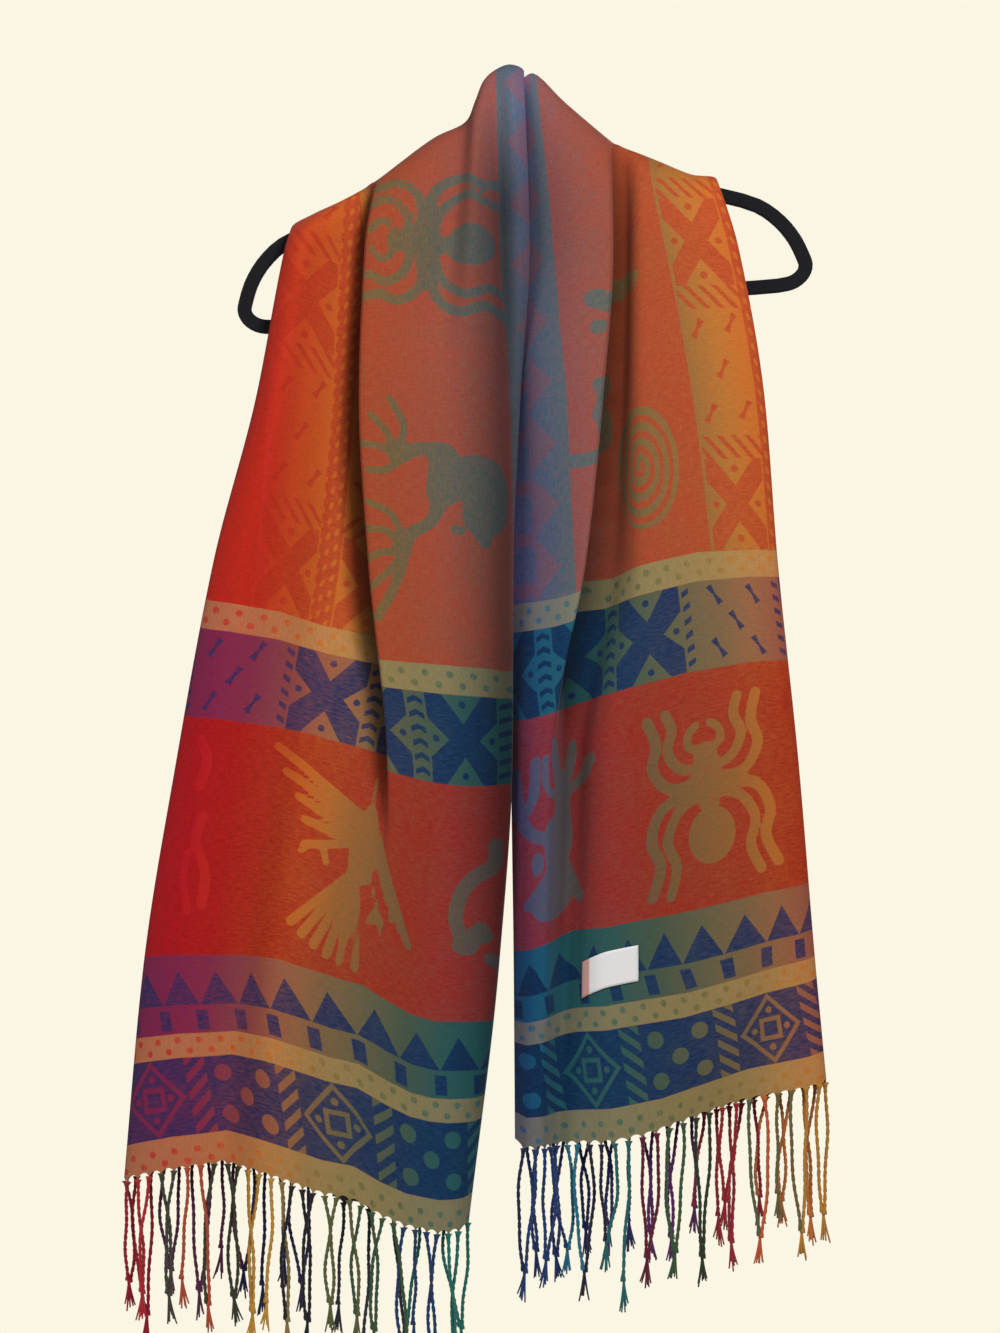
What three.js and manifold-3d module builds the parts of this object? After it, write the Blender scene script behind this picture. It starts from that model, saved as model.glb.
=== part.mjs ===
// A pashmina shawl hung over a slim velvet clothes hanger.
// The shawl is one long cloth with its middle behind the hook: each end comes forward over
// one arm of the hanger and hangs down in front, and a knotted fringe runs along both hems.
// Millimetres, +Z up, +X to the right and -Y towards the viewer. The origin is the seat of
// the hook, the point where the rail or peg that carries the hanger touches its wire.
import * as THREE from "three";
import { mergeVertices } from "three/addons/utils/BufferGeometryUtils.js";
import Module from "manifold-3d";

const wasm = await Module();
wasm.setup();

// ---- driving dimensions ----
const clothWall = 1.2; // thickness of the woven cloth's wall
const seam = 0.3; // clearance kept between neighbouring pieces
const levels = [-138, -254, -378, -533, -688]; // heights at which the folds are given
const fringeLength = 118;
const fringePitch = 10.8; // distance along the hem between two knotted cords
const fringeRadius = 1.3;
const headerHeight = 4; // the strip of gathered warp ends that the cords hang from

const hangerTilt = THREE.MathUtils.degToRad(-4.7); // the heavier end pulls its arm down
const hangerThickness = 5.6;
const hangerRim = 11; // height of the moulded bar and arms
const barDrop = 180.4; // from the hook's seat down to the middle of the trouser bar
const wireRadius = 1.8;
const hookInside = 13; // inner radius of the hook

// Each row is one line running down the cloth, in order across its width.
// ridge: where it crosses the shoulder [x, y, z]; at: [x, y] at each height in levels;
// hem: where it ends [x, y, z].
const leftFolds = [
  {
    name: "tuck_end", ridge: [3, -4.5, -12], hem: [-137, -8, -876],
    at: [[4, -12], [-12, -8], [-26, -8], [-84, -8], [-103, -8]],
  },
  {
    name: "tuck_middle", ridge: [7, -5, -8], hem: [-84, -10, -888],
    at: [[10, -13], [0, -10], [-10, -10], [-40, -10], [-55, -10]],
  },
  {
    name: "inner_fold", ridge: [9, -2, 4.5], hem: [-31, -16, -892],
    at: [[16.6, -19.2], [9.4, -16.4], [4, -15], [3, -16], [-7, -16]],
  },
  {
    name: "strip_crown", ridge: [2, -1, 7.5], hem: [-34, -22, -896],
    at: [[9, -31], [7, -21], [1, -23], [0, -24], [-10, -24]],
  },
  {
    name: "groove", ridge: [-9, -1, 3.6], hem: [-38, -26, -898],
    at: [[-6, -21], [1, -26], [-4, -30], [-6, -30], [-14, -29]],
  },
  {
    name: "column_edge", ridge: [-18, -1, -4.5], hem: [-45, -30, -899],
    at: [[-12, -30], [-11, -36], [-14, -37], [-15, -36], [-23, -34]],
  },
  {
    name: "column_crown", ridge: [-25, 0, -21], hem: [-55, -34, -899],
    at: [[-28, -40], [-33, -44], [-33, -43], [-33, -41], [-38, -38]],
  },
  {
    name: "neck_pleat", ridge: [-32, 0, -36.5], hem: [-66, -37, -896],
    at: [[-44, -27], [-54, -44], [-52, -46], [-51, -43], [-54, -40]],
  },
  {
    name: "field_crown", ridge: [-57, 0, -49.5], hem: [-79, -40, -893],
    at: [[-76, -36], [-85, -45], [-79, -46], [-72, -43], [-72, -41]],
  },
  {
    name: "knife_edge", ridge: [-102, 0, -83], hem: [-99, -42, -884],
    at: [[-110, -30], [-114, -38], [-107, -40], [-92, -41], [-89, -42]],
  },
  {
    name: "knife_inside", ridge: [-106, 0, -85], hem: [-120, -42, -872],
    at: [[-65, -24], [-74, -28], [-72, -31], [-87, -33], [-110, -42]],
  },
  {
    name: "knife_return", ridge: [-110, 0, -88], hem: [-144, -40, -868],
    at: [[-65, -14], [-74, -17], [-72, -21], [-89, -26], [-130, -42]],
  },
  {
    name: "valley", ridge: [-115, 0, -91], hem: [-190, -18, -856],
    at: [[-120, -12], [-127, -14], [-139, -14], [-156, -24], [-178, -26]],
  },
  {
    name: "rise", ridge: [-130, 0, -99], hem: [-218, -38, -844],
    at: [[-141, -22], [-157, -28], [-172, -30], [-184, -34], [-205, -38]],
  },
  {
    name: "outer_crown", ridge: [-151, 0, -109], hem: [-260, -40, -850],
    at: [[-159, -30], [-178, -38], [-203, -40], [-228, -41], [-247, -42]],
  },
  {
    name: "outer_fold", ridge: [-167, -2, -118.8], hem: [-296, -22, -861],
    at: [[-172, -18], [-194, -22], [-226, -24], [-255, -24], [-280, -24]],
  },
  {
    name: "back_turn", ridge: [-163, -5.4, -124], hem: [-291, -10, -862],
    at: [[-168, -6.5], [-190, -8], [-221, -9], [-250, -10], [-274, -10]],
  },
  {
    name: "back_middle", ridge: [-120, -4.6, -105], hem: [-214, -8, -855],
    at: [[-110, -5.4], [-110, -6], [-142, -7], [-172, -8], [-200, -8]],
  },
  {
    name: "back_end", ridge: [-60, -4.6, -77], hem: [-150, -7, -866],
    at: [[-50, -5.4], [-29, -6], [-63, -7], [-110, -7], [-130, -7]],
  },
];
const rightFolds = [
  {
    name: "selvedge", ridge: [12.6, -4.8, -3], hem: [6, -17, -830],
    at: [[8, -5], [6, -7], [2, -6], [3, -6.5], [5, -15]],
  },
  {
    name: "band_crown", ridge: [20, -1, 0.5], hem: [15, -30, -834.5],
    at: [[28, -18], [24, -29], [25, -22], [16, -34], [15, -32]],
  },
  {
    name: "neck_slope", ridge: [44, 0, -21.5], hem: [20, -32, -834],
    at: [[54, -30], [48, -35], [44, -32], [24, -40], [22, -37]],
  },
  {
    name: "knife_edge", ridge: [80, 0, -52], hem: [26, -32, -834],
    at: [[81, -32], [73, -38], [60, -38], [32, -42], [29, -38]],
  },
  {
    name: "knife_inside", ridge: [83, 0, -54], hem: [32, -24, -833.5],
    at: [[48, -21], [48, -23], [43, -24], [39, -28], [36, -26]],
  },
  {
    name: "knife_return", ridge: [86, 0, -55], hem: [39, -17, -833],
    at: [[48, -14.5], [48, -14], [43, -14], [47, -14], [44, -16]],
  },
  {
    name: "valley", ridge: [90, 0, -57], hem: [50, -20, -832],
    at: [[89, -14], [86, -14], [81, -14], [56, -15], [53, -18]],
  },
  {
    name: "field_crown", ridge: [103, 0, -62], hem: [81, -40, -828.5],
    at: [[102, -30], [102, -34], [102, -38], [76, -38], [75, -36]],
  },
  {
    name: "field_edge", ridge: [118, 0, -68], hem: [110, -42, -821.5],
    at: [[124, -30], [133, -34], [145, -38], [133, -42], [141, -38]],
  },
  {
    name: "border", ridge: [143, 0, -78], hem: [176, -28, -799],
    at: [[153, -26], [172, -30], [184, -32], [188, -38], [199, -34]],
  },
  {
    name: "outer_fold", ridge: [162, -2, -81.5], hem: [246, -19, -784],
    at: [[178, -20], [198, -20], [208, -20], [224, -20], [237, -20]],
  },
  {
    name: "back_turn", ridge: [157, -6.5, -95], hem: [240, -8, -786],
    at: [[173, -7.5], [193, -8], [202, -8], [219, -8], [231, -8]],
  },
  {
    name: "back_middle", ridge: [110, -4.6, -78], hem: [153, -7, -808],
    at: [[118, -6], [130, -6], [133, -6], [141, -7], [149, -7]],
  },
  {
    name: "back_end", ridge: [50, -4.6, -58], hem: [10, -6, -832],
    at: [[41, -5], [25, -5], [17, -5], [13, -6], [11, -6]],
  },
];

// The stretch behind the hanger runs from one shoulder to the other in hanging swags.
const back = {
  leftFrom: 5.3, leftTo: 15, // the part of each ridge that it carries on from, in fold rows
  rightFrom: 1.5, rightTo: 10,
  collarSag: 24, // how far the upper edge dips behind the hook
  swagSag: 102, // and how far the lower edge hangs
  stand: 8.2, // how far it stands off the hanger beside the arms
  belly: 12, // and how much further in the middle
  swags: 3.5, // folds from the upper edge to the lower
  swagDepth: 6,
  turnOver: 0.05, // the share of its width in which it turns over the arm
};

// ---- curves ----

// A smooth value at z through knots (zs, values) that never overshoots them.
function smoothThrough(zs, values, z, firstSlope) {
  const n = zs.length;
  const secant = (i) => (values[i + 1] - values[i]) / (zs[i + 1] - zs[i]);
  const slope = (i) => {
    if (i === 0) return firstSlope ?? secant(0);
    if (i === n - 1) return secant(n - 2);
    const before = secant(i - 1);
    const after = secant(i);
    return before * after <= 0 ? 0 : (2 * before * after) / (before + after);
  };
  let i = 0;
  while (i < n - 2 && z < zs[i + 1]) i++;
  const h = zs[i + 1] - zs[i];
  const f = (z - zs[i]) / h;
  const g = 1 - f;
  return (
    values[i] * (1 + 2 * f) * g * g +
    values[i + 1] * f * f * (3 - 2 * f) +
    slope(i) * h * f * g * g -
    slope(i + 1) * h * f * f * g
  );
}

// The point on one fold line. down runs from 0 at the ridge, past 1 at the first level, to 2 at the hem.
function onFold(fold, down) {
  const [ridgeX, ridgeY, ridgeZ] = fold.ridge;
  const [hemX, hemY, hemZ] = fold.hem;
  const zs = [ridgeZ, ...levels, hemZ];
  const xs = [ridgeX, ...fold.at.map((p) => p[0]), hemX];
  const ys = [...fold.at.map((p) => p[1]), hemY];
  const turn = (Math.min(down, 1) * Math.PI) / 2; // the cloth rounds over the arm in a quarter ellipse
  const z =
    down < 1
      ? ridgeZ + (levels[0] - ridgeZ) * (1 - Math.cos(turn))
      : levels[0] + (hemZ - levels[0]) * (down - 1);
  const y =
    down < 1
      ? ridgeY + (ys[0] - ridgeY) * Math.sin(turn)
      : smoothThrough(zs.slice(1), ys, z, 0);
  return new THREE.Vector3(smoothThrough(zs, xs, z), y, z);
}

// The cloth's section across all its folds, part of the way down, as a curve whose parameter counts folds.
function section(folds, down) {
  const curve = new THREE.CatmullRomCurve3(folds.map((f) => onFold(f, down)), false, "centripetal");
  const last = folds.length - 1;
  return (across) => curve.getPoint(Math.min(1, Math.max(0, across / last)));
}

// ---- solids ----

// The way through the middle one of three points, halfway between the ways before and after it.
// Its length is 1 on a straight stretch and shrinks as the turn at the point gets sharper.
function wayThrough(before, middle, after) {
  const arriving = middle.clone().sub(before ?? middle).normalize();
  const leaving = (after ?? middle).clone().sub(middle).normalize();
  return before && after ? arriving.add(leaving).multiplyScalar(0.5) : arriving.add(leaving);
}

// A closed wall of even thickness whose middle is a grid of points. At a sharp fold its faces
// move out along the bisector, as a mitred corner does.
const longestMitre = 2;
function wall(grid, thickness) {
  const rows = grid.length;
  const columns = grid[0].length;
  const positions = [];
  for (const side of [1, -1])
    for (let i = 0; i < rows; i++)
      for (let j = 0; j < columns; j++) {
        const p = grid[i][j];
        const along = wayThrough(grid[i - 1]?.[j], p, grid[i + 1]?.[j]);
        const over = wayThrough(grid[i][j - 1], p, grid[i][j + 1]);
        const mitre = Math.min(longestMitre, 1 / over.length());
        const normal = over.cross(along).normalize();
        positions.push(...p.clone().addScaledVector(normal, (side * mitre * thickness) / 2));
      }
  const at = (side, i, j) => side * rows * columns + i * columns + j;
  const faces = [];
  const quad = (a, b, c, d) => faces.push(a, b, c, a, c, d);
  for (let i = 0; i < rows - 1; i++)
    for (let j = 0; j < columns - 1; j++) {
      quad(at(0, i, j), at(0, i, j + 1), at(0, i + 1, j + 1), at(0, i + 1, j));
      quad(at(1, i, j), at(1, i + 1, j), at(1, i + 1, j + 1), at(1, i, j + 1));
    }
  for (let j = 0; j < columns - 1; j++) {
    quad(at(1, 0, j), at(1, 0, j + 1), at(0, 0, j + 1), at(0, 0, j));
    quad(at(0, rows - 1, j), at(0, rows - 1, j + 1), at(1, rows - 1, j + 1), at(1, rows - 1, j));
  }
  for (let i = 0; i < rows - 1; i++) {
    quad(at(0, i, 0), at(0, i + 1, 0), at(1, i + 1, 0), at(1, i, 0));
    quad(at(1, i, columns - 1), at(1, i + 1, columns - 1), at(0, i + 1, columns - 1), at(0, i, columns - 1));
  }
  return new THREE.BufferGeometry()
    .setAttribute("position", new THREE.Float32BufferAttribute(positions, 3))
    .setIndex(faces);
}

function toSolid(geometry) {
  const bare = new THREE.BufferGeometry()
    .setAttribute("position", geometry.getAttribute("position"))
    .setIndex(geometry.index);
  const merged = mergeVertices(bare, 1e-3);
  return new wasm.Manifold(
    new wasm.Mesh({
      numProp: 3,
      vertProperties: merged.attributes.position.array,
      triVerts: new Uint32Array(merged.index.array),
    }),
  );
}

function fromSolid(solid) {
  const mesh = solid.getMesh();
  return new THREE.BufferGeometry()
    .setAttribute("position", new THREE.BufferAttribute(mesh.vertProperties, 3))
    .setIndex(new THREE.BufferAttribute(mesh.triVerts, 1));
}

function material(hex, roughness, metalness = 0) {
  return new THREE.MeshStandardMaterial({ color: hex, roughness, metalness });
}

function piece(name, geometry, look) {
  const mesh = new THREE.Mesh(geometry, look);
  mesh.name = name;
  return mesh;
}

// ---- the cloth ----

const stepsPerFold = 2;
const ridgeRows = 4;
const hangingRows = 13;

// How far down each row of the wall lies, closer together where the cloth turns over the arm.
const rowsDown = [
  ...Array.from({ length: ridgeRows }, (_, i) => i / ridgeRows),
  ...Array.from({ length: hangingRows + 1 }, (_, i) => 1 + i / hangingRows),
];

function panelGrid(folds) {
  const steps = (folds.length - 1) * stepsPerFold;
  return rowsDown.map((down) => {
    const across = section(folds, down);
    return Array.from({ length: steps + 1 }, (_, j) => across(j / stepsPerFold));
  });
}

// The stretch behind the hanger: down counts from its upper edge, over from the left shoulder to the right.
function backStretch() {
  const rows = 20;
  const columns = 18;
  const leftRidge = section(leftFolds, 0);
  const rightRidge = section(rightFolds, 0);
  const grid = Array.from({ length: rows + 1 }, (_, i) => {
    const down = i / rows;
    const from = leftRidge(back.leftFrom + (back.leftTo - back.leftFrom) * down);
    const to = rightRidge(back.rightFrom + (back.rightTo - back.rightFrom) * down);
    const sag = back.collarSag + (back.swagSag - back.collarSag) * down ** 0.9;
    return Array.from({ length: columns + 1 }, (_, j) => {
      const over = (1 - Math.cos((Math.PI * j) / columns)) / 2;
      const middle = Math.sin(Math.PI * over);
      const nearArm = Math.min(1, Math.min(over, 1 - over) / back.turnOver);
      const turn = Math.sqrt(1 - (1 - nearArm) ** 2);
      const swag = Math.cos(2 * Math.PI * back.swags * down) * back.swagDepth * middle;
      const p = from.clone().lerp(to, over);
      p.z -= sag * 4 * over * (1 - over);
      p.y = 2 * seam + clothWall / 2 + (back.stand + back.belly * middle) * turn + swag;
      return p;
    });
  });
  return wall(grid, clothWall);
}

// Evenly spread numbers from 0 to 1 that never repeat, for the small differences between cords.
const scatter = (n, salt) => {
  const value = Math.sin(n * 12.9898 + salt * 78.233) * 43758.5453;
  return value - Math.floor(value);
};

// One knotted cord: a slim three-sided tube that swells at its knot and ends in a small brush.
function fringeCord(root, number) {
  const length = fringeLength * (0.9 + 0.2 * scatter(number, 1));
  const drift = (scatter(number, 2) - 0.5) * 5;
  const sections = [
    { down: -0.01, radius: 1.2, shift: 0 },
    { down: 0.35, radius: 1, shift: 0.5 },
    { down: 0.7, radius: 1, shift: 0.6 },
    { down: 0.82, radius: 1.7, shift: 0.8 },
    { down: 1, radius: 1.3, shift: 1 },
  ];
  const sides = 3;
  const positions = [];
  for (const s of sections)
    for (let k = 0; k < sides; k++) {
      const angle = (2 * Math.PI * k) / sides;
      positions.push(
        root.x + drift * s.shift + Math.cos(angle) * s.radius * fringeRadius,
        root.y + Math.sin(angle) * s.radius * fringeRadius,
        root.z - length * s.down,
      );
    }
  const faces = [0, 1, 2];
  const last = (sections.length - 1) * sides;
  faces.push(last, last + 2, last + 1);
  for (let s = 0; s < sections.length - 1; s++)
    for (let k = 0; k < sides; k++) {
      const a = s * sides + k;
      const b = s * sides + ((k + 1) % sides);
      faces.push(a, a + sides, b + sides, a, b + sides, b);
    }
  return new THREE.BufferGeometry()
    .setAttribute("position", new THREE.Float32BufferAttribute(positions, 3))
    .setIndex(faces);
}

// The fringe of one hem: a narrow strip parted from the cloth's edge, and the cords that hang from it.
function fringe(folds, salt) {
  const hem = section(folds, 2);
  const last = folds.length - 1;
  const steps = last * stepsPerFold;
  const edge = Array.from({ length: steps + 1 }, (_, j) => hem(j / stepsPerFold));
  const stripTop = seam + clothWall / 2;
  const grid = [stripTop, headerHeight].map((drop) =>
    edge.map((p) => new THREE.Vector3(p.x, p.y, p.z - drop)),
  );
  let solid = toSolid(wall(grid, clothWall));
  let untilNext = fringePitch / 2;
  let number = salt;
  for (let j = 1; j < edge.length; j++) {
    const length = edge[j].distanceTo(edge[j - 1]);
    for (; untilNext < length; untilNext += fringePitch) {
      const root = edge[j - 1].clone().lerp(edge[j], untilNext / length);
      root.z -= headerHeight - 1;
      solid = solid.add(toSolid(fringeCord(root, number++)));
    }
    untilNext -= length;
  }
  return fromSolid(solid);
}

// The small woven label sewn on the right end: a patch of the panel's own surface, moved out.
const label = {
  rows: [14.3, 14.85], // the panel rows at which its upper and lower edges lie on the left
  rise: 0.32, // how many rows higher its right end is
  columns: [12.6, 14.9], // the panel columns of its left and right ends
  lift: 2,
  wall: 0.8,
};
function labelPatch() {
  const panel = panelGrid(rightFolds);
  const onPanel = (row, column) => {
    const [i, j] = [Math.floor(row), Math.floor(column)];
    const upper = panel[i][j].clone().lerp(panel[i][j + 1], column - j);
    const lower = panel[i + 1][j].clone().lerp(panel[i + 1][j + 1], column - j);
    return upper.lerp(lower, row - i);
  };
  const rows = 3;
  const columns = 8;
  const grid = Array.from({ length: rows + 1 }, (_, i) =>
    Array.from({ length: columns + 1 }, (_, j) => {
      const over = j / columns;
      const row = THREE.MathUtils.lerp(...label.rows, i / rows) - label.rise * over;
      const column = THREE.MathUtils.lerp(...label.columns, over);
      const p = onPanel(row, column);
      const beside = onPanel(row, column + 0.2).sub(p);
      const below = onPanel(row + 0.2, column).sub(p);
      return p.addScaledVector(below.cross(beside).normalize(), label.lift);
    }),
  );
  return wall(grid, label.wall);
}

// ---- the hanger, drawn upright: x along its bar and y up from the middle of the bar ----

function hangerFrame() {
  const rightHalf = [
    [0, 130], [40, 113], [94, 93], [134, 80.5], [152, 75], [185, 63], [201, 50],
    [211.5, 35.3], [217.3, 21], [219, 14], [216.5, 7.5], [210, 2.3], [201, 0], [150, 0], [75, 0],
  ];
  const leftHalf = rightHalf.slice(1).reverse().map(([x, y]) => [-x, y]);
  const centreline = new THREE.CatmullRomCurve3(
    [...rightHalf, [0, 0], ...leftHalf].map(([x, y]) => new THREE.Vector3(x, y, 0)),
    true,
    "centripetal",
  );
  // A chamfered bar section [across the rim, through its thickness], carried once round the loop.
  const bevel = 1.2;
  const high = hangerRim / 2;
  const deep = hangerThickness / 2;
  const profile = [
    [high, bevel - deep], [high, deep - bevel], [high - bevel, deep], [bevel - high, deep],
    [-high, deep - bevel], [-high, bevel - deep], [bevel - high, -deep], [high - bevel, -deep],
  ];
  const rings = 84;
  const sides = profile.length;
  const positions = [];
  const faces = [];
  for (let i = 0; i < rings; i++) {
    const p = centreline.getPoint(i / rings);
    const t = centreline.getTangent(i / rings);
    for (const [out, through] of profile) positions.push(p.x - t.y * out, p.y + t.x * out, through);
    for (let k = 0; k < sides; k++) {
      const a = i * sides + k;
      const b = i * sides + ((k + 1) % sides);
      const [c, d] = [a, b].map((v) => (v + sides) % (rings * sides));
      faces.push(a, b, d, a, d, c);
    }
  }
  return new THREE.BufferGeometry()
    .setAttribute("position", new THREE.Float32BufferAttribute(positions, 3))
    .setIndex(faces);
}

function hangerHook() {
  const radius = hookInside + wireRadius;
  const centre = barDrop - hookInside;
  const path = new THREE.CurvePath();
  const stemFoot = new THREE.Vector3(0, 146, 0);
  const stemTop = new THREE.Vector3(0, centre - radius - 2.5, 0);
  path.add(new THREE.LineCurve3(stemFoot, stemTop));
  const start = THREE.MathUtils.degToRad(-62);
  const end = THREE.MathUtils.degToRad(205);
  const onArc = (a) => new THREE.Vector3(Math.cos(a) * radius, centre + Math.sin(a) * radius, 0);
  path.add(
    new THREE.QuadraticBezierCurve3(stemTop, new THREE.Vector3(0.6, centre - radius + 0.4, 0), onArc(start)),
  );
  const arc = Array.from({ length: 17 }, (_, i) => onArc(start + ((end - start) * i) / 16));
  path.add(new THREE.CatmullRomCurve3(arc));
  const round = new THREE.Shape(
    Array.from({ length: 10 }, (_, i) => {
      const a = (2 * Math.PI * i) / 10;
      return new THREE.Vector2(Math.cos(a) * wireRadius, Math.sin(a) * wireRadius);
    }),
  );
  return new THREE.ExtrudeGeometry(round, { steps: 44, extrudePath: path });
}

function hookFerrule() {
  const outline = [[0, 135.9 + seam], [4.6, 135.9 + seam], [4.6, 142], [3.4, 145.6], [0, 145.6]];
  return new THREE.LatheGeometry(outline.map(([r, y]) => new THREE.Vector2(r, y)), 18);
}

// ---- assembly ----

const shawl = new THREE.Group();
shawl.add(
  piece("left_front", wall(panelGrid(leftFolds), clothWall), material(0xb5391f, 0.75)),
  piece("right_front", wall(panelGrid(rightFolds), clothWall), material(0xb5391f, 0.75)),
  piece("back_stretch", backStretch(), material(0xb5391f, 0.75)),
  piece("left_fringe", fringe(leftFolds, 0), material(0x6b6a3f, 0.8)),
  piece("right_fringe", fringe(rightFolds, 100), material(0x44606b, 0.8)),
  piece("label", labelPatch(), material(0xf2f0ee, 0.6)),
);

const velvet = material(0x0b0b0c, 0.95);
const upright = new THREE.Group(); // the hanger's own frame: its bar along x, its front towards +z
upright.add(
  piece("hanger_frame", hangerFrame(), velvet),
  piece("hook_ferrule", hookFerrule(), material(0xb9bbbd, 0.3, 0.9)),
  piece("hook", hangerHook(), material(0xb9bbbd, 0.25, 0.95)),
);
upright.position.y = -barDrop;
const hung = new THREE.Group(); // turned about the hook's seat
hung.add(upright);
hung.rotation.z = -hangerTilt;
const hanger = new THREE.Group();
hanger.add(hung);
hanger.rotation.x = Math.PI / 2;

const shawlOnHanger = new THREE.Group();
shawlOnHanger.add(shawl, hanger);

export default shawlOnHanger;
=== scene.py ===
import math
import bpy
import bmesh
import numpy as np
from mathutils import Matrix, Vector


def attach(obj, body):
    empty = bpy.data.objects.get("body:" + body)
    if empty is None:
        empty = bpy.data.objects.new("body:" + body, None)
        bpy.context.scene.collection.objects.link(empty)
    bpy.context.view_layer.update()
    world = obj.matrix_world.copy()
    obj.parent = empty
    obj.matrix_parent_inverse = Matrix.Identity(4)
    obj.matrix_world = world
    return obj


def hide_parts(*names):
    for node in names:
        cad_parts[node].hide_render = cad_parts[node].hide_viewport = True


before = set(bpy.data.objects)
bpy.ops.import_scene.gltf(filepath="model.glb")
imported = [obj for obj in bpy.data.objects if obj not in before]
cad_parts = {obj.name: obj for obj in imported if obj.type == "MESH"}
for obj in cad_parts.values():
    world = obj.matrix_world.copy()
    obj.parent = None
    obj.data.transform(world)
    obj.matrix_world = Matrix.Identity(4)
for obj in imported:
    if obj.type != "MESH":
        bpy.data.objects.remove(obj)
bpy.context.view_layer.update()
mm = 0.001
print("frame loaded:", ", ".join(sorted(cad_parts)))

# Camera, light and floor

studio = {
    "viewHeight": 1.0317,  # metres that the image spans at the cloth
    "viewCentre": (-0.0059, -0.015, -0.4604),
    "cameraDistance": 2.8,
    "backdrop": (251, 246, 228),
    "ambient": 0.15,
    "keyPower": 33.0,
    "fillPower": 13.0,
    "floorHeight": -1.06,
}


def linearColour(rgb):
    parts = [c / 255 for c in rgb]
    return tuple(c / 12.92 if c <= 0.04045 else ((c + 0.055) / 1.055) ** 2.4 for c in parts) + (1.0,)


class Value:
    # One socket of a finish, so that shader maths reads as plain expressions.
    def __init__(self, finish, socket):
        self.finish = finish
        self.socket = socket

    def join(self, operation, first, second, clamp=False):
        return self.finish.node("Math", {"operation": operation, "use_clamp": clamp}, {0: first, 1: second})

    def __add__(self, other):
        return self.join("ADD", self, other)

    __radd__ = __add__

    def __sub__(self, other):
        return self.join("SUBTRACT", self, other)

    def __rsub__(self, other):
        return self.join("SUBTRACT", other, self)

    def __mul__(self, other):
        return self.join("MULTIPLY", self, other)

    __rmul__ = __mul__

    def __truediv__(self, other):
        return self.join("DIVIDE", self, other)

    def __rtruediv__(self, other):
        return self.join("DIVIDE", other, self)

    def __abs__(self):
        return self.join("ABSOLUTE", self, 0.0)


class Finish:
    # A material whose nodes are made one call each.
    def __init__(self, name, fixed):
        self.material = bpy.data.materials.new(name)
        self.material.use_nodes = True
        self.tree = self.material.node_tree
        self.shader = self.tree.nodes["Principled BSDF"]
        for socket, value in fixed.items():
            self.shader.inputs[socket].default_value = value

    def node(self, kind, settings, inputs, output=0):
        made = self.tree.nodes.new("ShaderNode" + kind)
        for name, value in settings.items():
            if name == "stops":
                self.setStops(made.color_ramp, value)
            else:
                setattr(made, name, value)
        for name, value in inputs.items():
            if isinstance(value, Value):
                self.tree.links.new(value.socket, made.inputs[name])
            else:
                made.inputs[name].default_value = value
        return Value(self, made.outputs[output])

    def setStops(self, ramp, stops):
        while len(ramp.elements) < len(stops):
            ramp.elements.new(0.5)
        for element, (place, rgb) in zip(ramp.elements, stops):
            element.position = place
            element.color = linearColour(rgb)

    def attribute(self, name, output="Fac"):
        return self.node("Attribute", {"attribute_name": name}, {}, output)

    def mix(self, first, second, factor, blend="MIX"):
        return self.node("Mix", {"data_type": "RGBA", "blend_type": blend}, {0: factor, 6: first, 7: second}, 2)

    def noise(self, vector, scale, detail, roughness=0.5):
        return self.node("TexNoise", {}, {"Vector": vector, "Scale": scale, "Detail": detail, "Roughness": roughness})

    def feed(self, socket, value):
        self.tree.links.new(value.socket, self.shader.inputs[socket])

    def feedBump(self, height, strength, distance):
        settings = {"Height": height, "Strength": strength, "Distance": distance}
        self.feed("Normal", self.node("Bump", {}, settings))


def least(a, b):
    return a.join("MINIMUM", a, b)


def most(a, b):
    return a.join("MAXIMUM", a, b)


def fromNearest(a, centre, pitch):
    # distance from the nearest of a row of centres
    return a.join("PINGPONG", a - (centre - 100 * pitch), pitch / 2)


def signedFromNearest(a, centre, pitch):
    return a.finish.node("Math", {"operation": "WRAP"}, {0: a - centre, 1: pitch / 2, 2: -pitch / 2})


def inside(distance, edge=0.7):
    # 1 inside a shape and 0 outside it
    node = {"operation": "MULTIPLY_ADD", "use_clamp": True}
    return distance.finish.node("Math", node, {0: distance, 1: -1 / edge, 2: 0.5})


def between(a, low, high, edge=0.7):
    return inside(abs(a - (low + high) / 2) - (high - low) / 2, edge)


def length2(a, b):
    return a.join("SQRT", a * a + b * b, 0.0)


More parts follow.
